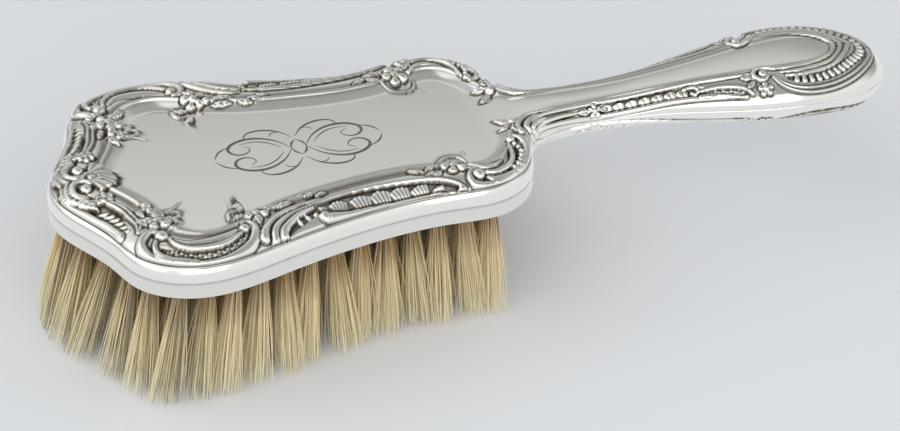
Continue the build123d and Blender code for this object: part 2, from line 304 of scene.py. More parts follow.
def stroke(points, width, rise, where="head", shape="round", ground=0.0, cut=0.3):
    line = smoothLine(points, strokeStep)
    width = spread(width, len(line))
    rise = spread(rise, len(line))
    mask, distance, index, *_ = reach(line, width.max() + 0.7, where)
    t = distance / width[index]
    inside = np.clip(1 - t * t, 0, 1)
    if shape == "round":
        profile = np.sqrt(inside)
    elif shape == "twin":       # two reeds side by side
        profile = np.where(t < 1, bump((t - 0.52) / 0.5) ** 0.6, 0)
    else:       # soft swelling
        profile = bump(t)
    cutRound(mask, distance, width[index], cut)
    raiseTo(mask, t < 1.05, ground + rise[index] * profile)


def sink(points, width, depth, where="head", soft=0.5):     # sunk ground between the mouldings
    line = smoothLine(points, 0.3)
    width = spread(width, len(line))
    mask, distance, index, *_ = reach(line, width.max() + soft, where)
    share = smooth((width[index] + soft - distance) / soft)
    height[mask] = height[mask] * (1 - share) + np.minimum(height[mask], -depth) * share


def ball(x, y, radius, rise, where="head", cut=0.35):
    mask, distance, *_ = reach(np.array([[x, y]]), radius + 0.7, where)
    t = distance / radius
    cutRound(mask, distance, radius, cut)
    raiseTo(mask, t < 1, rise * np.sqrt(np.clip(1 - t * t, 0, 1)))


def flower(x, y, radius, turn, petals, rise, where="head"):
    mask, distance, _, px, py = reach(np.array([[x, y]]), radius * 1.15 + 0.6, where)
    angle = np.arctan2(py - y, px - x) + turn
    lobe = np.abs(np.cos(angle * petals / 2))
    edge = radius * (0.60 + 0.40 * lobe ** 0.6)
    t = distance / edge
    cutRound(mask, distance, edge, 0.4)
    swell = np.sqrt(np.clip(1 - ((t - 0.62) / 0.42) ** 2, 0, 1))
    petal = rise * (0.12 + 0.88 * lobe ** 0.9) * (0.35 + 0.65 * swell)
    petal = petal - 0.16 * bump((lobe - 1) / 0.10) * (t > 0.35)     # a crease down each petal
    heartRadius = radius * 0.3
    heart = rise * 0.55 + 0.5 * np.sqrt(np.clip(1 - (distance / heartRadius) ** 2, 0, 1))
    raiseTo(mask, t < 1, np.where(distance < heartRadius, heart, petal))


def leaf(x0, y0, x1, y1, width, rise, where="head", bend=0.0):
    # pointed leaf from its foot to its tip, bent sideways, with a middle crease and veins
    length = math.hypot(x1 - x0, y1 - y0)
    side = np.array([-(y1 - y0), x1 - x0]) / length * bend
    middle = np.array([(x0 + x1) / 2, (y0 + y1) / 2]) + side
    line = smoothLine([(x0, y0), tuple(middle), (x1, y1)], 0.2)
    mask, distance, index, *_ = reach(line, width + 0.6, where)
    along = index / (len(line) - 1)
    half = np.maximum(width * np.sin(math.pi * np.clip(along, 0.04, 1) ** 0.75) ** 0.8, 0.12)
    t = distance / half
    cutRound(mask, distance, half, 0.3)
    blade = rise * (0.55 + 0.45 * np.sqrt(np.clip(1 - t * t, 0, 1)))
    blade = blade - 0.3 * bump(distance / 0.4) + 0.10 * np.cos((along * length - distance * 0.8) * 3.5)
    raiseTo(mask, t < 1, blade)


def ruffle(x0, y0, x1, y1, width, rise, ribs, where="head", ground=-0.5):
    # one ribbed shell lobe from its foot to its crest, wider at the crest
    axis = np.array([x1 - x0, y1 - y0], float)
    length = np.linalg.norm(axis)
    axis = axis / length
    line = np.array([[x0, y0], [(x0 + x1) / 2, (y0 + y1) / 2], [x1, y1]])
    mask, _, _, px, py = reach(line, width + length / 2, where)
    along = ((px - x0) * axis[0] + (py - y0) * axis[1]) / length
    aside = -(px - x0) * axis[1] + (py - y0) * axis[0]
    half = width * (0.62 + 0.38 * np.clip(along, 0, 1))
    u = aside / half
    crest = 1.0 - 0.30 * np.abs(u + 0.15) ** 1.6        # the top edge is a blunt point
    rib = np.abs(1 - 2 * np.abs((u * ribs / 2 + 0.5 * (ribs % 2)) % 1 - 0.5))
    inside = (along > -0.12) & (np.abs(u) < 1) & (along < crest)
    body = rise * (0.42 + 0.58 * np.clip(along / crest, 0, 1)) * (1 - 0.35 * u ** 2)
    raiseTo(mask, inside, ground + (body - 0.42 * rise * (1 - rib) ** 1.4))


def scales(points, width, size, rise, where="head", ground=-0.5):
    # staggered rows of small overlapping scales along a line
    line = smoothLine(points, strokeStep)
    width = spread(width, len(line))
    mask, distance, index, px, py = reach(line, width.max(), where)
    tangent = np.gradient(line, axis=0)
    tangent = tangent / np.linalg.norm(tangent, axis=1, keepdims=True)
    offset = np.stack([px, py], 1) - line[index]
    across = tangent[index, 0] * offset[:, 1] - tangent[index, 1] * offset[:, 0]
    along = index * strokeStep + (tangent[index] * offset).sum(1)
    row = np.floor(along / size)
    u = along / size - row
    v = (across / size + 0.5 * (row % 2) + 100) % 1 - 0.5
    scale = np.clip(1 - (v / 0.46) ** 2 - (u - 0.15) ** 2 / 0.85, 0, 1) ** 0.5 * (0.55 + 0.45 * (1 - u))
    raiseTo(mask, distance < width[index], ground + rise * 1.6 * scale)


def pressMouldings():
    # plain mouldings that run all round, by the distance s from the field's edge
    s = rowS
    head = 1 - onHandle[:, None] * np.ones_like(s)
    height[:] += head * 0.52 * bump((s - 1.4) / 0.8)        # fillet round the field
    height[:] -= head * 0.32 * bump((s - 3.1) / 1.5)        # cove beside it
    handle = 1 - head
    around = flat["handle"][1]
    edge = np.interp(planX, fieldLine[:, 0], aroundHandle(fieldLine[:, 0], fieldLine[:, 1]))
    beforeEnd = planX < 232
    height[:] += handle * 0.34 * bump((around - edge - 0.75) / 0.65) * beforeEnd


def finishRim():
    # the ornament stops at a crease, and a plain rounded moulding runs outside it;
    # inwards it fades out before the plain middle of the field
    height[:] *= smooth((rowS - rowS[:, :1]) / 0.9)
    head = (1 - onHandle)[:, None]
    crease = form["rimCrease"]
    keep = smooth((rimLength - crease) / 0.6)
    height[:] *= keep * head + (1 - head) * smooth(rimLength / 1.2)
    height[:] -= head * form["rimCreaseDepth"] * bump((rimLength - crease) / 0.5)


def frontOrnament():
    sink([(3.4, 0), (4.2, 6), (7, 11.5), (9.5, 16), (11.6, 21.5), (12.5, 26)], [2.2, 3, 3, 2.8, 2.4, 1.2],
         0.55)
    stroke([(2.6, 0.9), (2.3, 4.7), (3.5, 9.3), (5.3, 13.2), (7.1, 16.7), (9.7, 21.6), (11.1, 25.7),
            (11.5, 27.6)],
           [0.55, 0.9, 0.95, 0.95, 0.95, 0.95, 1, 1.4], [0.5, 0.8, 0.85, 0.85, 0.85, 0.85, 0.9, 1])
    for x, y in [(10.1, 16.6), (11.2, 18.4), (12.1, 20.3), (12.7, 22.3), (13, 24.3), (13.3, 26.2)]:
        ruffle(x - 1.5, y - 0.2, x + 1.3, y + 0.9, 1, 0.75, 1, ground=-0.45)
    stroke([(12.3, 12.9), (15, 18), (16, 21.8), (16.9, 26), (16.2, 29.2)], [1, 1.25, 1.3, 1.2, 0.7],
           [0.8, 0.95, 0.95, 0.9, 0.6], shape="twin")
    leaf(4.8, 7.8, 9.2, 14.9, 1.7, 1, bend=-0.10)
    stroke([(4.6, 0), (3.6, 2.9), (3.7, 6.7), (4.8, 9.8)], [0.8, 0.9, 0.9, 0.5], [0.8, 0.9, 0.9, 0.5])
    stroke([(9.9, 2.4), (8.7, 1), (7.1, 0.8), (5.5, 2), (4.9, 4.7), (5.7, 7.2), (7.7, 9)],
           [0.7, 0.85, 0.95, 1.05, 1.05, 1, 0.7], [0.9, 1, 1.1, 1.15, 1.1, 1, 0.7])
    ball(8.3, 4.7, 1.75, 1.25)
    for y in (3.4, 5.2, 7):       # small scallops on the very front edge
        ruffle(2.9, y, 0.9, y + 0.3, 0.85, 0.5, 1, ground=-0.1)
    flower(12, 10.6, 2.5, 0.4, 5, 1.15)
    flower(9.6, 11.6, 1.5, 0.1, 5, 0.85)


def shellFan():
    # the shell on the front of the field: ribs spread from the foot between the two scrolls
    px, py = flat["head"]
    foot = np.array([9.6, 0])
    angle = np.arctan2(py - foot[1], px - foot[0])
    away = np.hypot(px - foot[0], py - foot[1])
    rib = np.abs(np.cos(angle * 8))
    edge = 7.9 - np.abs(angle) / 1.2 + 0.35 * rib
    share = away / edge
    inside = (share < 1) & (np.abs(angle) < 1.25) & (px > 9.8)
    body = 1.1 * np.sqrt(np.clip(1 - ((share - 0.66) / 0.8) ** 2, 0, 1)) * (0.62 + 0.38 * rib ** 0.8) + 0.05
    cut = (share >= 1) & (share < 1.12) & (np.abs(angle) < 1.3) & (px > 10)
    height[cut] -= 0.12
    height[inside] = np.maximum(height[inside], body[inside])
    ball(11, 0, 1.3, 1.2)


def cornerOrnament():
    sink([(19.8, 38.6), (22.3, 41.2), (27.3, 43.6), (32.3, 44.4), (37.4, 43.4), (42, 40)],
         [0.8, 1.6, 1.9, 1.9, 1.8, 1.2], 0.6)
    scales([(21.6, 40.2), (27.3, 43.3), (32.3, 44), (37.4, 43), (42.3, 39.6)], [1, 1.4, 1.5, 1.4, 0.9], 1.25,
           0.34)
    stroke([(20.8, 31.8), (19.2, 30.6), (17.1, 31.9), (15.6, 34), (15.5, 36.6), (17, 39.7), (20.6, 42.9),
            (24.8, 44.9),
            (31.1, 46), (36.9, 45.3), (41.7, 43.2), (43.9, 40.9), (44.9, 37.4), (44.1, 34.6), (42.6, 34.4)],
           [0.9, 1.25, 1.4, 1.5, 1.5, 1.4, 1.25, 1.1, 1.05, 1.1, 1.25, 1.4, 1.4, 1.2, 0.9],
           [1, 1.25, 1.3, 1.3, 1.3, 1.15, 1, 0.9, 0.9, 0.95, 1.05, 1.2, 1.25, 1.2, 1])
    stroke([(19.3, 34.9), (18.4, 37.2), (19.3, 40), (22.4, 42.6), (27.9, 44.6)], [0.7, 0.85, 0.85, 0.7, 0.4],
           [0.8, 0.85, 0.8, 0.65, 0.4])
    stroke([(22.8, 34.8), (23.2, 37), (24.6, 39.2), (27.4, 41), (32, 41.8), (36.9, 40.9), (41.2, 38.2)],
           [0.6, 0.9, 0.95, 0.95, 0.95, 0.9, 0.6], [0.8, 0.9, 0.9, 0.9, 0.9, 0.85, 0.7])
    stroke([(24.2, 35.8), (26.5, 38.2), (31.5, 39), (36.2, 38.2), (40.6, 36.2)], [0.6, 1.5, 1.8, 1.5, 0.6],
           [0.3, 0.55, 0.6, 0.55, 0.3], shape="soft")
    ball(21.2, 33.2, 1.95, 1.5)
    ball(42.3, 36.6, 1.6, 1.25)
    stroke([(24.4, 19.3), (27.5, 19), (30, 16.8)], [0.5, 0.42, 0.3], [0.45, 0.4, 0.25], cut=0.12)
    stroke([(24.6, 20.9), (27, 20), (28.6, 21), (28.5, 22.8), (27.2, 23.2)], [0.5, 0.55, 0.6, 0.6, 0.7],
           [0.5, 0.5, 0.55, 0.55, 0.6], cut=0.15)
    leaf(25.6, 22.2, 28.6, 26.2, 1.2, 0.7, bend=0.15)
    leaf(24.4, 29.3, 27.5, 31.6, 1.1, 0.8)
    flower(22, 26.2, 3.9, 0.3, 5, 1.35)
    flower(22.6, 21, 2.5, 1.1, 4, 1.15)
    ball(21.2, 17.2, 1.5, 1.1)
    for place in ((21, 18.2, 22.4, 15.2, 1, 0.95), (18.8, 27, 16.8, 23.4, 1.1, 0.85),
                  (19.2, 22.6, 17.6, 19, 1, 0.8), (18.6, 29.3, 16.4, 30.4, 0.9, 0.8)):
        leaf(*place)


def flankFlower():
    # flower and sprig behind the corner, and the reeds that run from it to the side panel
    sink([(62, 33.8), (56.8, 36.6), (53, 39.4)], [1.4, 1.6, 1], 0.5)
    for points in ([(60, 30.4), (54, 32.5), (49.6, 35.9), (47.3, 38.9), (46.4, 41.2)],
                   [(60.5, 31.9), (55.2, 34.4), (51.1, 37.5), (49.5, 40.2), (49.2, 42.3)],
                   [(62, 32.6), (57.5, 34.8), (54.2, 37.3), (52, 39.8), (51.8, 41)]):
        stroke(points, [0.5, 0.8, 0.95, 1.1, 1.35], [0.6, 0.85, 1, 1.15, 1.25])
        ball(points[-1][0], points[-1][1], 1.45, 1.15, cut=0.1)
    for x, y, size in ((57.3, 37.3, 0.9), (59.9, 36.3, 0.9), (62.2, 35.5, 0.9), (59, 34.9, 0.7)):
        ruffle(x + 0.3, y + 0.7, x - 0.3, y - 1, size, 0.8, 1, ground=-0.3)
    leaf(52.5, 29.6, 57.9, 28.4, 1.1, 0.8)
    leaf(51.5, 27.3, 57, 26.3, 1, 0.7, bend=0.08)
    for x, y in ((60.8, 25.3), (63.3, 26.2), (66, 27)):
        leaf(x - 1.9, y + 0.7, x + 1.7, y - 0.5, 0.85, 0.7)
    stroke([(40.2, 22), (42.2, 22.6), (44.7, 24.6)], [0.3, 0.42, 0.5], [0.25, 0.4, 0.5], cut=0.12)
    leaf(45, 25.4, 42.5, 19.9, 1.1, 0.8, bend=0.12)
    stroke([(40.6, 28.6), (40.7, 26.4), (41.9, 25), (44.2, 25.6)], [0.7, 0.65, 0.6, 0.6],
           [0.6, 0.6, 0.55, 0.6], cut=0.15)
    leaf(44.6, 27.2, 41, 29.4, 1.1, 0.75)
    flower(47, 30.8, 3.6, 0.9, 5, 1.35)
    flower(46.6, 34.1, 1.6, 0.2, 4, 1)
    ball(50.2, 29.3, 1.15, 1)


def sidePanel():
    # long panel with the ribbed shell lobes
    sink([(63.9, 33), (69.9, 32.5), (76, 32), (82, 31.5), (88, 31.3), (94, 31.5), (99.5, 32.4),
          (102.2, 33.2)],
         [0.9, 2.2, 2.4, 2.4, 2.3, 2, 1.2, 0.5], 0.5)
    lobes = [(64.4, 35, 63.7, 32.2, 1.6), (69.4, 35, 68.7, 30.9, 2.35), (75.7, 34.5, 75, 30.3, 2.8),
             (81.3, 33.9, 80.4, 29.7, 2.8), (86.8, 33.5, 85.8, 29.7, 2.7), (92.2, 33.2, 91.3, 30.1, 2.5),
             (97, 33.2, 96.4, 31.3, 1.7)]
    for x0, y0, x1, y1, half in lobes:
        ruffle(x0, y0, x1, y1 + 0.45, half * 1.22, 0.85, 5, ground=-0.45)
    stroke([(61.5, 31.3), (69.9, 29.1), (80, 28.3), (90.2, 28.6), (97.2, 29.9), (101.6, 32), (103.6, 34),
            (103, 35.1),
            (101.9, 34.6), (102.1, 33.6)],
           [0.45, 0.7, 0.75, 0.75, 0.75, 0.8, 0.8, 0.75, 0.6, 0.5],
           [0.55, 0.75, 0.8, 0.8, 0.8, 0.85, 0.9, 0.9, 0.8, 0.7])
    ball(102.6, 34, 1.2, 0.95, cut=0.1)
    stroke([(64.6, 36.4), (70, 36), (77, 35.1), (86.3, 34.3), (94.5, 33.9), (98.3, 34.4), (99.6, 35.4)],
           [1.4, 0.9, 0.75, 0.7, 0.7, 0.75, 0.9], [1.1, 0.8, 0.7, 0.7, 0.7, 0.75, 0.8])
    ball(64.2, 36.1, 1.6, 1.2, cut=0.1)
    for place in ((90.8, 24, 95.3, 26.3, 0.95, 0.75), (95.2, 25.5, 98.8, 23.2, 0.95, 0.75),
                  (94.8, 27.3, 99.4, 26.9, 0.9, 0.7)):
        leaf(*place)


def shoulderOrnament():
    # flower, beaded crescent and C-scroll on the curved shoulder, then the leaves that lead to the neck
    sink([(110.4, 32.2), (114.6, 31.6), (118.4, 29.5), (121.4, 26), (123, 21.5), (122.6, 18.5)],
         [0.8, 1.5, 1.7, 1.7, 1.5, 0.8], 0.62)
    stroke([(108.8, 29.2), (106.6, 29.6), (105.6, 31.2), (105.9, 33), (107.8, 34), (111.5, 34.3),
            (116.4, 32.6), (120.4, 29.5),
            (123.6, 25.1), (125.3, 20.8), (125.2, 18.6), (123.9, 16.5), (122.2, 16.2)],
           [0.7, 0.9, 1.05, 1.1, 1.1, 1.05, 1, 1, 1, 1, 0.95, 0.9, 0.7],
           [0.85, 1, 1.15, 1.15, 1.1, 1, 0.95, 0.95, 0.95, 1, 1, 0.95, 0.8])
    stroke([(110.3, 32.4), (112.9, 33.1), (117, 31.8), (120, 29.6)], [0.6, 0.95, 0.85, 0.4],
           [0.6, 0.85, 0.75, 0.4])
    stroke([(109.9, 30.8), (112.8, 31.2), (116.2, 30), (119.1, 27), (120.3, 22.9), (120.8, 19.2)],
           [0.7, 0.8, 0.8, 0.8, 0.75, 0.5], [0.85, 0.85, 0.85, 0.85, 0.8, 0.6])
    stroke([(107.5, 25.8), (110, 28.1), (113, 28.5), (116, 26.6)], [0.6, 0.8, 0.8, 0.5], [0.6, 0.7, 0.7, 0.4])
    for x, y in ((122.2, 19.9), (122.7, 21.7), (122.8, 23.5), (122.2, 25.3), (121.3, 27), (120.2, 28.5),
                 (118.8, 29.9)):
        ball(x, y, 0.82, 0.95, cut=0.2)
    ball(108.3, 31, 1.75, 1.35)
    ball(122, 17.6, 1.25, 1.15)
    stroke([(98.9, 23.2), (100.8, 19.9), (103.7, 18.1), (106.6, 19.1), (107.9, 22.4)],
           [0.4, 0.55, 0.6, 0.6, 0.5],
           [0.4, 0.5, 0.55, 0.55, 0.5], cut=0.15)
    stroke([(103.7, 17.9), (106.6, 18.4), (108.2, 17.9), (109, 16.7)], [0.4, 0.36, 0.3, 0.2],
           [0.35, 0.3, 0.25, 0.15], cut=0.1)
    leaf(99.2, 27.2, 96.4, 29, 0.8, 0.7)
    flower(103.2, 25.3, 3.8, 0.5, 5, 1.3)
    leaf(106.4, 27.6, 108.8, 29.4, 0.9, 0.8)
    leaf(125, 13.4, 125.6, 10, 1.2, 0.9)
    ball(125.6, 9.1, 1.45, 1.25)
    leaf(125, 8, 121.4, 5, 1.15, 0.85, bend=0.12)
    leaf(124.6, 10.2, 120.9, 10.9, 1.1, 0.8, bend=-0.12)
    for points in ([(136.5, 7.5), (134.2, 8.1), (131.8, 9.6), (131.2, 10.8), (132.2, 11)],
                   [(135.5, 6.5), (133.2, 6.9), (130.2, 9), (128.9, 11.4), (129.9, 12.4)],
                   [(134.5, 5.5), (131.5, 6.1), (128.3, 8.4), (126.4, 11.3), (126.3, 14.2)]):
        stroke(points, [0.4, 0.65, 0.8, 0.85, 0.85], [0.35, 0.65, 0.8, 0.85, 0.8])


def handleOrnament():
    # in x and the distance round from the crown of the handle
    on = "handle"
    sink([(151, 7.6), (154, 7.7), (160, 7.8), (168, 8), (176, 8.8), (181, 9.6)],
         [0.6, 1.2, 1.3, 1.3, 1.2, 0.6], 0.42, on)
    stroke([(132.5, 11.2), (136, 8.9), (141, 7.7), (147.5, 7.4)], [0.5, 0.7, 0.6, 0.3],
           [0.45, 0.55, 0.45, 0.2], on)
    for k, x in enumerate((154, 157.5, 161.2, 164.9, 168.6, 172.2, 175.6)):
        drift = 0.05 * k ** 1.7
        ruffle(x + 0.3, 9 + drift, x - 0.3, 6.6 + drift, 2, 0.66, 2, on, ground=-0.35)
    stroke([(131.5, 9), (135, 6.9), (142, 5.7), (150, 5.4), (165, 5.7), (180, 6.5), (190, 7.7), (197, 8.6)],
           [0.5, 0.7, 0.75, 0.7, 0.7, 0.7, 0.7, 0.5], [0.55, 0.65, 0.65, 0.62, 0.62, 0.62, 0.6, 0.4], on)
    stroke([(131.5, 12.6), (135, 10.6), (142, 9.4), (150, 9.5), (165, 9.9), (175, 10.9), (185, 13.1),
            (192.5, 15.4)],
           [0.5, 0.7, 0.8, 0.75, 0.75, 0.75, 0.75, 0.6], [0.5, 0.6, 0.6, 0.55, 0.55, 0.55, 0.6, 0.5], on)
    flower(150.4, 7.7, 2.1, 0.3, 5, 0.8, on)
    leaf(148.8, 7.8, 145.4, 7.5, 0.85, 0.55, on)
    leaf(152, 7.7, 153.9, 7.7, 0.7, 0.5, on)
    stroke([(176.2, 8), (178.6, 8), (180, 9.2), (179.2, 10.4), (178, 9.8)], [0.5, 0.55, 0.6, 0.6, 0.55],
           [0.5, 0.55, 0.6, 0.6, 0.55], on)
    sink([(182, 10.9), (187, 12.2), (192, 13.6)], [0.5, 1.3, 0.9], 0.45, on)
    scales([(182, 10.9), (187, 12.2), (192, 13.6)], [0.6, 1, 0.8], 1.1, 0.25, on, -0.35)
    stroke([(180, 9.9), (184.5, 10), (188.6, 10.9), (192.6, 12.8), (194.3, 15)], [0.5, 0.65, 0.7, 0.7, 0.6],
           [0.45, 0.55, 0.6, 0.6, 0.5], on)
    stroke([(180, 11.3), (185, 12.6), (190.3, 14.6)], [0.5, 0.6, 0.6], [0.45, 0.5, 0.5], on)
    leaf(192.8, 9.3, 196.6, 10.6, 0.9, 0.65, on)
    leaf(193.6, 13, 196.4, 11.4, 0.9, 0.65, on)
    flower(198.2, 14.8, 2.4, 0.2, 5, 0.8, on)
    stroke([(200.4, 10.4), (198.6, 11.7), (196.9, 10.6), (196.6, 8.9), (198, 7.3), (200.3, 7.3), (203, 8.6)],
           [0.6, 0.75, 0.8, 0.8, 0.8, 0.75, 0.6], [0.6, 0.75, 0.8, 0.8, 0.8, 0.75, 0.6], on)
    ball(199.1, 9.5, 1.35, 1, on)
    # reeds round the end of the field, the gadrooned band outside them, and the double C-scroll
    for offset, lift in ((0, 0.5), (1.8, 0.42), (3.5, 0.4)):
        points = [(203 + 0.7 * offset, 8.6 + offset * 0.9), (209, 8.9 + offset * 0.98), (215, 8.3 + offset),
                  (220, 6.3 + offset * 1.15),
                  (223 + offset * 0.75, 3.6 + offset * 0.5), (224.6 + offset * 1.35, 0)]
        stroke(points, [0.4, 0.65, 0.7, 0.7, 0.7, 0.7], [0.35, lift, lift, lift, lift, lift], on)
    band = smoothLine([(206, 13), (211, 14.2), (217, 13.7), (223, 11), (228, 7.3), (231.5, 3.6), (232.4, 0)],
                      count=200)
    sink(band[::8], [0.5, 1, 1.25, 1.3, 1.3, 1.3, 1.2], 0.42, on)
    for k in range(15):
        here = band[min(12 + k * 13, 198)]
        ahead = band[min(13 + k * 13, 199)] - here
        square = np.array([-ahead[1], ahead[0]]) / (np.linalg.norm(ahead) + 1e-9)
        foot, tip = here - square * 0.65, here + square * 0.65
        stroke([tuple(foot), tuple(tip)], [0.62, 0.85], [0.6, 0.75], on, ground=-0.3, cut=0.15)
    stroke([(201.8, 11.6), (203.4, 14.6), (206.6, 16.9), (211.5, 18), (217.5, 17.5), (223, 15.4), (228, 12),
            (232.5, 7.4), (234.8, 3.4), (235.4, 0)],
           [0.6, 1, 1.15, 1.2, 1.2, 1.15, 1.05, 0.95, 0.9, 0.9],
           [0.5, 0.75, 0.85, 0.85, 0.85, 0.85, 0.8, 0.75, 0.7, 0.7], on, shape="twin")


pressMouldings()
sidePanel()
frontOrnament()
shellFan()
cornerOrnament()
flankFlower()
shoulderOrnament()
handleOrnament()
finishRim()
print("relief worked out:", height.shape)


def gridNormals(points):
    down = np.gradient(points, axis=0)
    out = np.gradient(points, axis=1)
    normal = np.cross(out, down)
    length = np.linalg.norm(normal, axis=-1, keepdims=True)
    normal = normal / np.maximum(length, 1e-9)
    return np.where(normal[..., 2:3] < -0.05, -normal, normal)


def blurred(values, times):
    for _ in range(times):
        wide = np.pad(values, 1, mode="edge")
        total = wide[:-2, 1:-1] + wide[2:, 1:-1] + 2 * wide[1:-1, 1:-1] + wide[1:-1, :-2] + wide[1:-1, 2:]
        values = total / 6
    return values


# how much a hollow holds: by its depth under its wide and its near surroundings, and under the plain level
oxide = {"hollow": 0.62, "wide": (16, 0.45), "near": (4, 0.20),
         "deep": 0.24, "deepFrom": -0.12, "deepBy": 0.45}


def tarnishFrom(heights):       # oxide stays in the hollows, and polish on what stands up
    hollow = sum((blurred(heights, oxide[each][0]) - heights) / oxide[each][1] for each in ("wide", "near"))
    deep = np.clip((oxide["deepFrom"] - heights) / oxide["deepBy"], 0, 1)
    return np.clip(oxide["hollow"] * hollow + oxide["deep"] * deep, 0, 1)


height = blurred(height, 1)
tarnish = blurred(tarnishFrom(height), 1)
# the plain moulding is polished clean
plainOutside = smooth((rimLength - form["rimCrease"] + 0.25) / 0.35)
tarnish *= plainOutside * (1 - onHandle[:, None]) + onHandle[:, None]
surface = np.stack([planX, planY, baseZ], -1)
surface[:, :, 1][planY < 1e-9] = 0
facing = gridNormals(surface)
facing[0, :, 1] = facing[-1, :, 1] = 0
raised = surface + facing * height[..., None]
raised[0, :, 1] = raised[-1, :, 1] = 0
raised[:, :, 1] = np.maximum(raised[:, :, 1], 0)


def addRow(loops, toneRows, x, y, z, toneAmount=0.0):
    loops.append(np.column_stack([x, y, z]))
    toneRows.append(np.zeros(len(x)) + toneAmount)


def drawnIn(line, shares):      # copies of a line, shrunk towards the middle line
    axisX = np.maximum.accumulate(line[:, 0])
    for share in shares:
        yield line[:, 0] * share + axisX * (1 - share), line[:, 1] * share


def halfLoops(topRows, topTarnish):
    # each column as a half loop: field, border, skirt, lip and the flat inner side, all on y above 0
    loops = []
    toneRows = []
    # from the middle line of the field to the ornament's first row
    for x, y in drawnIn(topRows[:, 0], np.linspace(0, 1, form["fieldRows"] + 1)[:-1]):
        addRow(loops, toneRows, x, y, baseHeight(x, y, -form["margin"] * np.ones(len(x)), bandWidth, onHandle))
    for j in range(topRows.shape[1]):
        addRow(loops, toneRows, *topRows[:, j].T, topTarnish[:, j])
    rim = topRows[:, -1]
    bottom = rim[:, 2] - form["skirtDrop"] * (1 - onHandle)
    for inset, drop in form["skirt"][1:]:
        inset = inset * (1 - onHandle) + 0.4 * onHandle * drop
        z = rim[:, 2] + (bottom - rim[:, 2]) * drop - 0.02 * onHandle * drop
        spot = rim[:, :2] - outward * inset[:, None]
        # a dark line in the crease under the moulding, partly oxide in the crease and partly painted shade
        # that greys the foot of the moulding, and a faint painted darker reflection on the plain band below it
        toneAmount = 0.24 * bump((drop - 0.27) / 0.09) + 0.06 * smooth((drop - 0.28) / 0.04)
        addRow(loops, toneRows, *spot.T, z, toneAmount * (1 - onHandle))
    inner = rim[:, :2] - outward * form["innerInset"]
    inner[:, 1] = np.maximum(inner[:, 1], 0)
    level = form["innerLevel"] * (1 - onHandle) + (rim[:, 2] + 0.3) * onHandle
    for x, y in drawnIn(inner, (1.0, 0.6, 0.3, 0.0)):       # the flat inner side, back to the middle line
        addRow(loops, toneRows, x, y, level)
    loops = np.stack(loops, 1)
    loops[[0, -1], :, 1] = 0
    loops[:, 0, 1] = loops[:, -1, 1] = 0
    loops[..., 1] = np.maximum(loops[..., 1], 0)
    return loops, np.stack(toneRows, 1)


def newPiece(name, verts, faces, **values):     # one mesh object, with its values at the points
    mesh = bpy.data.meshes.new(name)
    mesh.from_pydata(verts, [], faces)
    for label, each in values.items():
        attribute = mesh.attributes.new(label, "FLOAT", "POINT")
        attribute.data.foreach_set("value", np.asarray(each, np.float32))
    piece = bpy.data.objects.new(name, mesh)
    bpy.context.scene.collection.objects.link(piece)
    return piece


def endCap(points, column, topCount):
    # closes one half loop with triangles between its upper and its lower line, from the middle outwards
    upper = column[:topCount]
    lower = column[:topCount - 1:-1]
    faces = []
    i = j = 0
    while i + 1 < len(upper) or j + 1 < len(lower):
        upperNext = points[upper[i + 1], 1] if i + 1 < len(upper) else math.inf
        lowerNext = points[lower[j + 1], 1] if j + 1 < len(lower) else math.inf
        if upperNext <= lowerNext:
            faces.append([upper[i], upper[i + 1], lower[j]])
            i += 1
        else:
            faces.append([upper[i], lower[j + 1], lower[j]])
            j += 1
    return faces


def mirroredMesh(name, loops, toneRows, topCount, capFirst=False, capLast=False):
    # half loops joined column to column, mirrored to the near side; points on the middle line are shared
    columns, rows = loops.shape[:2]
    half = toFrame(loops.reshape(-1, 3))
    onMiddle = loops.reshape(-1, 3)[:, 1] < 1e-9
    half[onMiddle, 1] = 0
    partner = np.arange(len(half))
    partner[~onMiddle] = len(half) + np.arange(np.count_nonzero(~onMiddle))
    verts = np.concatenate([half, half[~onMiddle] * np.array([1, -1, 1])])
    index = np.arange(columns * rows).reshape(columns, rows)
    a, b = index[:-1, :-1].ravel(), index[:-1, 1:].ravel()
    c, d = index[1:, 1:].ravel(), index[1:, :-1].ravel()
    faces = np.stack([a, b, c, d], 1)
    faces = np.concatenate([faces, partner[faces][:, ::-1]]).tolist()
    for wanted, column in ((capFirst, index[0]), (capLast, index[-1])):
        if wanted:
            cap = np.array(endCap(half, column, topCount))
            faces += cap.tolist() + partner[cap][:, ::-1].tolist()
    # the tone at each point: oxide in the hollows, and painted shade on the head's moulding foot and skirt
    # band
    flatTones = toneRows.ravel()
    tarnishEach = np.concatenate([flatTones, flatTones[~onMiddle]])
    piece = newPiece(name, verts.tolist(), faces, tarnish=tarnishEach)
    turnOutwards(piece)
    return piece


def turnOutwards(piece):
    bpy.ops.object.select_all(action="DESELECT")
    bpy.context.view_layer.objects.active = piece
    piece.select_set(True)
    bpy.ops.object.mode_set(mode="EDIT")
    bpy.ops.mesh.select_all(action="SELECT")
    bpy.ops.mesh.normals_make_consistent(inside=False)
    bpy.ops.object.mode_set(mode="OBJECT")
    bpy.ops.object.shade_smooth()
    piece.select_set(False)


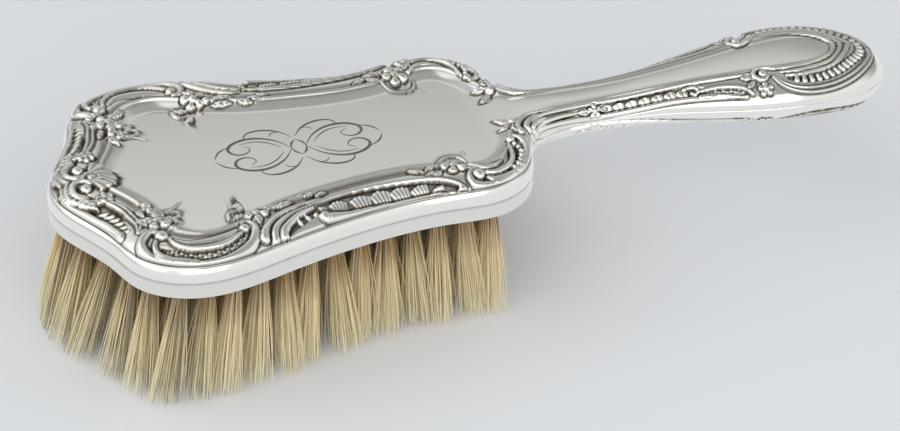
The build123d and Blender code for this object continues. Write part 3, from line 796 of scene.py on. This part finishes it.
def makeSilverBack():
    # stamped head and handle top: meshes that meet at cross sections with the same normals
    loops, toneRows = halfLoops(raised, tarnish)
    topCount = form["fieldRows"] + raised.shape[1]
    whole = mirroredMesh("whole_silver", loops, toneRows, topCount)
    count = loops.shape[1]
    normals = np.zeros(len(whole.data.vertices) * 3)
    whole.data.vertices.foreach_get("normal", normals)
    normals = normals.reshape(-1, 3)[:len(loops) * count].reshape(len(loops), count, 3)
    bpy.data.objects.remove(whole)
    cuts = [0] + [int(np.argmax(outerLine[:, 0] > x)) for x in form["meetings"]] + [len(loops) - 1]
    names = ("silver_head_front", "silver_head_rear", "silver_handle_neck", "silver_handle_bulb")
    pieces = []
    for name, first, last in zip(names, cuts[:-1], cuts[1:]):
        part = loops[first:last + 1]
        opensFirst, opensLast = first > 0, last < len(loops) - 1
        piece = mirroredMesh(name, part, toneRows[first:last + 1], topCount, opensFirst, opensLast)
        given = np.zeros((len(part), count, 3))
        if opensFirst:
            given[0] = normals[first]
        if opensLast:
            given[-1] = normals[last]
        given = given.reshape(-1, 3)
        near = part.reshape(-1, 3)[:, 1] >= 1e-9
        given = np.concatenate([given, given[near] * np.array([1, -1, 1])])
        piece.data.normals_split_custom_set_from_vertices(given.tolist())
        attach(piece, "root")
        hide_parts("silver_back")
        pieces.append(piece)
    return pieces


# lower half of the handle: chased more shallowly than the top, and nearly plain by the neck
underShell = {"front": 127.5, "plainUntil": 158, "fade": 24, "least": 0.12, "more": 0.4,
              "seamGap": 0.02, "lipInset": 0.35, "innerInset": 1.1, "panelShares": (0.0, 0.34, 0.67)}


def makeUnderShell():
    # the top's chasing turned downwards, closed on the seam
    first = int(np.argmax(outerLine[:, 0] > underShell["front"]))
    everySecond = (slice(first, None), slice(None, None, -2))       # every second row is enough below
    under = raised[everySecond][:, ::-1].copy()
    base = baseZ[everySecond][:, ::-1]
    stainAbove = tarnish[everySecond][:, ::-1]
    k = onHandle[first:, None]
    plain = handleTop(under[..., 0], under[..., 1])
    fromNeck = smooth((under[..., 0] - underShell["plainUntil"]) / underShell["fade"])
    chased = underShell["least"] + underShell["more"] * fromNeck
    lift = chased * (under[..., 2] - base) + (base - plain) * k
    level = plain + lift * smooth((k - 0.2) / 0.6)
    under[..., 2] = 2 * handleSection(under[..., 0])[2] - level
    rows = []
    toneRows = []
    for x, y in drawnIn(under[:, 0], underShell["panelShares"]):
        top = handleTop(x, y) - form["panelDepth"] * panelShare(x)
        addRow(rows, toneRows, x, y, 2 * handleSection(x)[2] - top)
    for j in range(under.shape[1]):
        addRow(rows, toneRows, *under[:, j].T, stainAbove[:, j] * (0.35 + 0.65 * fromNeck[:, j]))
    rim = under[:, -1]
    seam = rim[:, 2] + underShell["seamGap"]
    edge = rim[:, :2] - outward[first:] * underShell["lipInset"]
    addRow(rows, toneRows, *edge.T, seam)
    inner = rim[:, :2] - outward[first:] * underShell["innerInset"]
    for x, y in drawnIn(inner, (1.0, 0.5, 0.0)):        # flat along the seam, back to the middle line
        addRow(rows, toneRows, x, y, seam)
    loops = np.stack(rows, 1)
    loops[..., 1] = np.maximum(loops[..., 1], 0)
    loops[-1, :, 1] = 0
    loops[:, 0, 1] = loops[:, -1, 1] = 0
    topCount = len(underShell["panelShares"]) + under.shape[1]
    piece = mirroredMesh("handle_under_relief", loops, np.stack(toneRows, 1), topCount, True)
    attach(piece, "root")
    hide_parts("handle_under_shell")
    return piece


# flourish engraved in the field: one quarter of it, as points off its middle with the widest half width
flourish = {"middle": (68.0, 0.0), "tarnish": 0.42, "level": 0.02, "depth": 0.12, "hairline": 0.08,
            "swell": 1.45, "lines": [
    ([(2.0, 0.0), (5.0, 4.6), (10.0, 7.8), (15.4, 7.6), (18.6, 4.5), (17.4, 1.4), (14.2, 1.2), (12.9, 3.4),
      (14.6, 4.9)], 0.34),
    ([(4.6, 1.2), (7.6, 4.6), (11.4, 6.3), (15.0, 6.0)], 0.16),
    ([(0.6, 5.6), (3.2, 9.2), (7.4, 11.4), (11.6, 10.9), (12.8, 8.9), (11.2, 7.9)], 0.27),
    ([(18.0, 5.8), (21.4, 3.8), (23.2, 0.6)], 0.20),
    ([(0.0, 3.9), (1.5, 2.2), (2.0, 0.0)], 0.22),
    ([(6.0, 7.6), (5.2, 9.0), (3.2, 9.2)], 0.13),
]}


def makeFlourish():
    # thin tapering lines let into the field, the same in all four quarters
    verts = []
    faces = []
    for points, widest in flourish["lines"]:
        for turnX, turnY in ((1, 1), (1, -1), (-1, 1), (-1, -1)):
            line = smoothLine(points, 0.35) * np.array([turnX, turnY]) + np.array(flourish["middle"])
            count = len(line)
            ahead = np.gradient(line, axis=0)
            ahead /= np.linalg.norm(ahead, axis=1, keepdims=True)
            aside = np.stack([-ahead[:, 1], ahead[:, 0]], 1)
            taper = np.sin(np.linspace(0, math.pi, count)) ** 1.3
            half = flourish["hairline"] + (flourish["swell"] * widest - flourish["hairline"]) * taper
            base = len(verts)
            for side, drop in ((-1, 0.0), (1, 0.0), (1, flourish["depth"]), (-1, flourish["depth"])):
                spot = line + aside * half[:, None] * side
                verts += np.column_stack([spot, fieldHeight(spot[:, 1]) + flourish["level"] - drop]).tolist()
            corner = [base + count * n for n in range(4)]
            for n in range(count - 1):
                for c in range(4):
                    d = (c + 1) % 4
                    faces.append([corner[c] + n, corner[d] + n, corner[d] + n + 1, corner[c] + n + 1])
            faces.append(corner[::-1])
            faces.append([c + count - 1 for c in corner])
    toneAmount = np.full(len(verts), flourish["tarnish"])
    piece = newPiece("engraved_flourish", toFrame(verts).tolist(), faces, tarnish=toneAmount)
    turnOutwards(piece)
    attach(piece, "root")
    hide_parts("silver_back")
    return piece


# bristles: each tuft is a bundle of single hairs, bent a little and cut level
bristles = {"hairs": 84, "hairWidth": 0.27, "rootRadius": 1.85, "rootDepth": 1.5, "tipRadius": 3.9,
            "tipJitter": 1.1, "tipScatter": 0.9, "lengthSpread": 1.6, "bow": 0.22,
            "strays": 0.07, "strayReach": 1.35, "strayShort": 2.5,
            "rearPull": 6.5, "rearFrom": 60, "rearFade": 60, "frontPush": 1.5, "frontTo": 8, "frontFade": 25,
            "greyShare": 0.02, "frontGreyShare": 0.30, "boxMargin": 0.3, "sections": 4, "seed": 11}


def tuftPlaces(node):
    # root and tip middle of each tuft of a packed row, in millimetres of the frame
    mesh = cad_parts[node].data
    points = np.zeros(len(mesh.vertices) * 3)
    mesh.vertices.foreach_get("co", points)
    points = points.reshape(-1, 3) * 1000
    points = np.unique(np.round(points, 3), axis=0)

    def middles(ring, gap):
        ring = ring[np.argsort(ring[:, 0])]
        ends = np.flatnonzero(np.diff(ring[:, 0]) > gap)
        return np.array([(group.min(0) + group.max(0)) / 2 for group in np.split(ring, ends + 1)])

    high = points[points[:, 2] > points[:, 2].max() - 0.2]
    low = points[points[:, 2] < 0.2]
    return middles(high, 2.0), middles(low, 1.5)


def makeBristleRow(number, rng):
    node = "bristle_row_%02d" % number
    roots, tips = tuftPlaces(node)
    verts = []
    faces = []
    reachShare = []
    sections = bristles["sections"]
    rootLevel = blockFace - bristles["rootDepth"]
    corners = np.array([0, 2 * math.pi / 3, 4 * math.pi / 3])
    greys = []
    insideLow, insideHigh = cadLow[:2] + bristles["boxMargin"], cadHigh[:2] - bristles["boxMargin"]
    for place, (root, tip) in enumerate(zip(roots, tips)):
        greyShare = bristles["frontGreyShare"] if place < 2 and number <= 6 else bristles["greyShare"]
        lean = rng.normal(0, bristles["tipJitter"], 2)      # each tuft leans a little its own way
        loose = rng.uniform(0.85, 1.15)
        fromFront = root[0] - frontX
        back = smooth((fromFront - bristles["rearFrom"]) / bristles["rearFade"])
        front = 1 - smooth((fromFront - bristles["frontTo"]) / bristles["frontFade"])
        # the rear tufts stand almost upright, and the front ones splay a little forwards
        lean[0] -= bristles["rearPull"] * back + bristles["frontPush"] * front
        for _ in range(bristles["hairs"]):
            angle = rng.uniform(0, 2 * math.pi)
            out = math.sqrt(rng.uniform(0, 1))
            across = np.array([math.cos(angle), math.sin(angle)])
            start = np.array([*(root[:2] + across * out * bristles["rootRadius"]), rootLevel])
            stray = rng.uniform() < bristles["strays"]
            wide = bristles["tipRadius"] * loose * (bristles["strayReach"] if stray else 1.0)
            scatter = rng.normal(0, bristles["tipScatter"], 2)
            end = np.array([*(tip[:2] + lean + across * out * wide + scatter), 0.0])
            short = abs(rng.normal(0, bristles["lengthSpread"] * 0.5))
            end[2] = 0.05 + short + (rng.uniform(0, bristles["strayShort"]) if stray else 0)
            end[:2] = np.clip(end[:2], insideLow, insideHigh)
            bow = rng.normal(0, bristles["bow"], 2) + across * out * 0.5
            width = bristles["hairWidth"] * rng.uniform(0.8, 1.15) / 2
            turn = rng.uniform(0, 2 * math.pi)
            greys.append(rng.uniform(0.9, 1.0) if rng.uniform() < greyShare else rng.uniform(0.0, 0.8))
            first = len(verts)
            for n in range(sections + 1):
                t = n / sections
                spot = start * (1 - t) + end * t
                spot[:2] += bow * 4 * t * (1 - t) * (0.4 + 0.6 * t)
                radius = width * (1 - 0.55 * t ** 3)
                for corner in corners + turn:
                    aside = radius * math.cos(corner), radius * math.sin(corner)
                    verts.append((spot[0] + aside[0], spot[1] + aside[1], spot[2]))
                    reachShare.append(t)
                if n:
                    base = first + 3 * (n - 1)
                    for c in range(3):
                        faces.append((base + c, base + (c + 1) % 3, base + 3 + (c + 1) % 3, base + 3 + c))
            faces.append((first + 2, first + 1, first))
            faces.append((len(verts) - 3, len(verts) - 2, len(verts) - 1))
    verts = np.array(verts)
    verts[:, :2] = np.clip(verts[:, :2], cadLow[:2], cadHigh[:2])
    tones = np.repeat(np.array(greys), 3 * (sections + 1))
    piece = newPiece("bristles_%02d" % number, (verts * 0.001).tolist(), [face[::-1] for face in faces],
                     reach=reachShare, tone=tones)
    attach(piece, "root")
    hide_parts(node)
    return piece


cadLow, cadHigh = [np.array(corner) * 1000 for corner in cadBox]
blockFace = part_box("bristle_block")[0][2] * 1000       # lower face of the block, where the tufts come out
silverPieces = makeSilverBack()
silverPieces.append(makeUnderShell())
silverPieces.append(makeFlourish())
print("silver built:", [len(piece.data.polygons) for piece in silverPieces])
rng = np.random.default_rng(bristles["seed"])
bristleRows = [makeBristleRow(number, rng) for number in range(1, 12)]
print("bristles built:", sum(len(row.data.polygons) for row in bristleRows))


def linear(hexColour):      # sRGB hex to the linear values that Blender takes
    values = [int(hexColour[i:i + 2], 16) / 255 for i in (1, 3, 5)]
    return tuple([v / 12.92 if v <= 0.04045 else ((v + 0.055) / 1.055) ** 2.4 for v in values] + [1.0])


def addNode(material, kind, links=None, inputs=None, **settings):
    # one node with its incoming links, input values and settings
    node = material.node_tree.nodes.new("ShaderNode" + kind)
    for key, value in settings.items():
        setattr(node, key, value)
    for key, value in (inputs or {}).items():
        node.inputs[key].default_value = value
    for key, source in (links or {}).items():
        material.node_tree.links.new(source, node.inputs[key])
    return node


def newMaterial(name):
    material = bpy.data.materials.new(name)
    material.use_nodes = True
    for node in list(material.node_tree.nodes):
        if node.type != "OUTPUT_MATERIAL":
            material.node_tree.nodes.remove(node)
    output = [node for node in material.node_tree.nodes if node.type == "OUTPUT_MATERIAL"][0]
    return material, output


def finishWith(material, output, shader):
    material.node_tree.links.new(shader.outputs[0], output.inputs["Surface"])
    return material


def noise(material, where, size, detail, roughness=0.5):       # size in mm
    return addNode(material, "TexNoise", {"Vector": where},
                   {"Scale": 1000 / size, "Detail": detail, "Roughness": roughness}).outputs["Fac"]


def toneRamp(material, share, stops):       # stops: place and colour, in order
    node = addNode(material, "ValToRGB", {"Fac": share})
    ramp = node.color_ramp
    while len(ramp.elements) < len(stops):
        ramp.elements.new(0.5)
    for element, (place, colour) in zip(ramp.elements, stops):
        element.position = place
        element.color = linear(colour)
    return node.outputs["Color"]


def scaled(material, value, factor, offset):        # value * factor + offset; the offset may be a link
    links = {0: value} if isinstance(offset, float) else {0: value, 2: offset}
    inputs = {1: factor, 2: offset} if isinstance(offset, float) else {1: factor}
    return addNode(material, "Math", links, inputs, operation="MULTIPLY_ADD").outputs[0]


# sizes and depth in mm
silverLooks = {"polished": "#F5F4F0", "toned": "#8B8478", "oxide": "#2E2923",
               "polishedRoughness": 0.13, "oxideRoughness": 0.55, "cloudSize": 14.0, "cloudWear": 0.05,
               "fleckSize": 1.1, "scratchSpacing": 0.35, "scratchDepth": 0.004, "scratchStrength": 0.10,
               "scratchTurn": 24, "scratchStretch": 0.06}


def sterlingSilver():
    # stamped and chased sterling silver, hand polished: bright on what stands up, with brown-grey oxide left
    # in the hollows, painted shade on the foot of the moulding and the skirt band, faint tone clouds and
    # hair-fine polishing scratches
    material, output = newMaterial("polished_sterling_silver")
    where = addNode(material, "TexCoord").outputs["Object"]
    # the tone holds the oxide in the hollows and the painted shade on the moulding foot and skirt band
    toneAmount = addNode(material, "Attribute", attribute_name="tarnish").outputs["Fac"]
    clouds = noise(material, where, silverLooks["cloudSize"], 4.0, 0.55)
    fleck = noise(material, where, silverLooks["fleckSize"], 3.0, 0.6)
    uneven = scaled(material, fleck, 0.5, 0.75)
    oxideAndShade = addNode(material, "Math", {0: toneAmount, 1: uneven}, operation="MULTIPLY", use_clamp=True).outputs[0]
    colours = toneRamp(material, oxideAndShade, [(0.0, silverLooks["polished"]), (0.42, silverLooks["toned"]),
                                        (0.95, silverLooks["oxide"])])
    dull = addNode(material, "MapRange", {"Value": oxideAndShade},
                   {"To Min": silverLooks["polishedRoughness"],
                    "To Max": silverLooks["oxideRoughness"]}).outputs[0]
    wear = scaled(material, clouds, silverLooks["cloudWear"], dull)
    stretched = addNode(material, "Mapping", {"Vector": where})
    stretched.inputs["Rotation"].default_value = (0, 0, math.radians(silverLooks["scratchTurn"]))
    stretched.inputs["Scale"].default_value = (silverLooks["scratchStretch"], 1, 1)
    scratch = noise(material, stretched.outputs[0], silverLooks["scratchSpacing"], 2.0)
    grain = addNode(material, "Bump", {"Height": scratch},
                    {"Strength": silverLooks["scratchStrength"],
                     "Distance": silverLooks["scratchDepth"] * 0.001}).outputs[0]
    shader = addNode(material, "BsdfPrincipled", {"Base Color": colours, "Roughness": wear, "Normal": grain},
                     {"Metallic": 1.0})
    return finishWith(material, output, shader)


# the root colour is painted shade: the hairs turn brown towards the block, where the tufts crowd together
# under the silver's edge
bristleLooks = {"tip": "#FFF6D6", "shaft": "#FBEBBB", "root": "#BF9546", "pale": "#FFFBEA", "dark": "#8F8266",
                "roughness": 0.42, "through": 0.3}


def boarBristle():
    # bleached boar bristle: cream and slightly glossy, painted shade turning it brown towards the root, with a
    # grey hair here and there
    material, output = newMaterial("bleached_boar_bristle")
    fromRoot = addNode(material, "Attribute", attribute_name="reach").outputs["Fac"]
    tone = addNode(material, "Attribute", attribute_name="tone").outputs["Fac"]
    # painted shade: brown towards the root, cream along the shaft
    colour = toneRamp(material, fromRoot, [(0.12, bristleLooks["root"]), (0.42, bristleLooks["shaft"]),
                                           (1.0, bristleLooks["tip"])])
    for limits, other in (({"From Max": 0.8, "To Max": 0.55}, "pale"),
                          ({"From Min": 0.88, "From Max": 0.92, "To Max": 0.85}, "dark")):
        share = addNode(material, "MapRange", {"Value": tone}, limits).outputs[0]
        colour = addNode(material, "Mix", {0: share, 6: colour}, {7: linear(bristleLooks[other])},
                         data_type="RGBA").outputs[2]
    hair = addNode(material, "BsdfPrincipled", {"Base Color": colour},
                   {"Roughness": bristleLooks["roughness"]})
    through = addNode(material, "BsdfTranslucent", {"Color": colour})
    shader = addNode(material, "MixShader", {1: hair.outputs[0], 2: through.outputs[0]},
                     {0: bristleLooks["through"]})
    return finishWith(material, output, shader)


beechLooks = {"dark": "#8A5A2E", "light": "#C08C52", "grainSize": 1.2, "grainStretch": 0.12, "roughness": 0.45}


def varnishedBeech():
    # varnished beech of the brush's block: warm brown with fine fleck, seen only between the tufts
    material, output = newMaterial("varnished_beech")
    where = addNode(material, "TexCoord").outputs["Object"]
    stretched = addNode(material, "Mapping", {"Vector": where})
    stretched.inputs["Scale"].default_value = (beechLooks["grainStretch"], 1, 1)
    grain = noise(material, stretched.outputs[0], beechLooks["grainSize"], 5.0)
    tones = toneRamp(material, grain, [(0.0, beechLooks["dark"]), (1.0, beechLooks["light"])])
    shader = addNode(material, "BsdfPrincipled", {"Base Color": tones},
                     {"Roughness": beechLooks["roughness"]})
    return finishWith(material, output, shader)


def speckled(name, dark, light, size, roughness, metallic):
    # cast or drawn material with a fine two-tone mottle of the given size in mm
    material, output = newMaterial(name)
    where = addNode(material, "TexCoord").outputs["Object"]
    tones = toneRamp(material, noise(material, where, size, 4.0), [(0.0, dark), (1.0, light)])
    shader = addNode(material, "BsdfPrincipled", {"Base Color": tones},
                     {"Roughness": roughness, "Metallic": metallic})
    return finishWith(material, output, shader)


def dress(piece, material):
    piece.data.materials.clear()
    piece.data.materials.append(material)


silver = sterlingSilver()
bristle = boarBristle()
beech = varnishedBeech()
pitch = speckled("cast_shellac_pitch", "#1E1512", "#3A2A22", 3.0, 0.5, 0.0)
steel = speckled("rolled_mild_steel", "#8C8E90", "#B4B6B8", 1.5, 0.4, 1.0)
brass = speckled("drawn_brass_wire", "#A8843C", "#D2B264", 0.8, 0.3, 1.0)
for piece in silverPieces:
    dress(piece, silver)
for piece in bristleRows:
    dress(piece, bristle)
madeOf = {"silver_back": silver, "handle_under_shell": silver, "head_filling": pitch, "handle_filling": pitch,
          "stiffening_rod": steel, "bristle_block": beech}
for name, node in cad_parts.items():
    if name.startswith("bristle_row"):
        dress(node, bristle)
    elif name.startswith("draw_wire"):
        dress(node, brass)
    else:
        dress(node, madeOf[name])
print("materials set")


# floorDark and floorLight are the ends of a painted fall of light across the floor
studio = {"floorDark": "#E6EAF0", "floorLight": "#F6F8FC", "mirroredFloor": "#E8EAEC", "skyColour": "#F5F6F4",
          "openSide": 0.96, "backSide": 0.76, "backAt": 0.54, "backRise": 1.3, "backSlant": -0.45,
          "backLimits": (0.40, 0.95), "sideFade": 0.30, "overhead": 0.40, "overheadFrom": (0.58, 0.86),
          "floorSize": 12, "mottleSize": 1000 / 3.0, "aim": (0, 0, 0.03),
          "key": {"place": (-0.95, -0.10, 1.0), "size": 2.0, "power": 6.8},
          "fill": {"place": (-0.2, -1.5, 0.9), "size": 1.6, "power": 7.8}}
camera = {"place": (-0.256655, -0.72301, 0.50107), "tilt": 57.39, "turn": -19.09, "lens": 131.1, "sensor": 36}


def makeFloor():
    bpy.ops.object.select_all(action="DESELECT")
    bpy.ops.mesh.primitive_plane_add(size=studio["floorSize"], location=(0, 0, 0))
    floor = bpy.context.object
    floor.name = "studio_floor"
    material, output = newMaterial("matte_paper_sweep")
    where = addNode(material, "TexCoord").outputs["Object"]
    mottle = noise(material, where, studio["mottleSize"], 2.0)
    # painted light: the floor is darker towards negative x and lighter towards positive x, with a soft random
    # mottle
    across = addNode(material, "SeparateXYZ", {"Vector": where}).outputs["X"]
    falloffAndMottle = scaled(material, mottle, 0.2, across)
    sweep = addNode(material, "MapRange", {"Value": falloffAndMottle},
                    {"From Min": -0.30, "From Max": 0.45}).outputs[0]
    tones = toneRamp(material, sweep, [(0.0, studio["floorDark"]), (1.0, studio["floorLight"])])
    paper = addNode(material, "BsdfPrincipled", {"Base Color": tones}, {"Roughness": 0.9})
    white = addNode(material, "Emission", {},
                    {"Color": linear(studio["mirroredFloor"]), "Strength": 1.0})
    path = addNode(material, "LightPath")
    shader = addNode(material, "MixShader",
                     {0: path.outputs["Is Glossy Ray"], 1: paper.outputs[0], 2: white.outputs[0]})
    dress(floor, finishWith(material, output, shader))


def softbox(name, place, size, power):
    bpy.ops.object.light_add(type="AREA", location=place)
    lamp = bpy.context.object
    lamp.name = name
    lamp.data.shape = "RECTANGLE"
    lamp.data.size = size
    lamp.data.size_y = size
    lamp.data.energy = power
    lamp.rotation_euler = (Vector(studio["aim"]) - Vector(place)).to_track_quat("-Z", "Y").to_euler()


def fadedIn(material, value, start, end):
    return addNode(material, "MapRange", {"Value": value}, {"From Min": start, "From Max": end},
                   interpolation_type="SMOOTHSTEP").outputs[0]


def makeSky():
    # white tent: bright on the viewer's side, greyer behind and dimmest straight overhead
    world = bpy.data.worlds.new("studio_sky")
    world.use_nodes = True
    bpy.context.scene.world = world
    background = [node for node in world.node_tree.nodes if node.type == "BACKGROUND"][0]
    where = addNode(world, "TexCoord").outputs["Generated"]
    axes = addNode(world, "SeparateXYZ", {"Vector": where})
    # behind, the level is backSide at the height backAt, and it rises and slants from there
    low = studio["backSide"] - studio["backAt"] * studio["backRise"]
    higher = scaled(world, axes.outputs["Z"], studio["backRise"], low)
    behind = scaled(world, axes.outputs["X"], studio["backSlant"], higher)
    least, most = studio["backLimits"]
    tamed = addNode(world, "Clamp", {"Value": behind}, {"Min": least, "Max": most}).outputs[0]
    side = fadedIn(world, axes.outputs["Y"], -studio["sideFade"], studio["sideFade"])
    roundAbout = addNode(world, "Mix", {0: side, 3: tamed}, {2: studio["openSide"]}, data_type="FLOAT")
    crown = fadedIn(world, axes.outputs["Z"], *studio["overheadFrom"])
    level = addNode(world, "Mix", {0: crown, 2: roundAbout.outputs[0]}, {3: studio["overhead"]},
                    data_type="FLOAT")
    background.inputs["Color"].default_value = linear(studio["skyColour"])
    world.node_tree.links.new(level.outputs[0], background.inputs["Strength"])


def makeCamera():
    turned = (math.radians(camera["tilt"]), 0, math.radians(camera["turn"]))
    bpy.ops.object.camera_add(location=camera["place"], rotation=turned)
    viewer = bpy.context.object
    viewer.name = "studio_camera"
    viewer.data.lens = camera["lens"]
    viewer.data.sensor_width = camera["sensor"]
    viewer.data.clip_start = 0.01
    bpy.context.scene.camera = viewer


makeFloor()
for lampName in ("key", "fill"):
    softbox(lampName + "_softbox", **studio[lampName])
makeSky()
makeCamera()
bpy.context.scene.view_settings.view_transform = "Standard"
print("studio set")
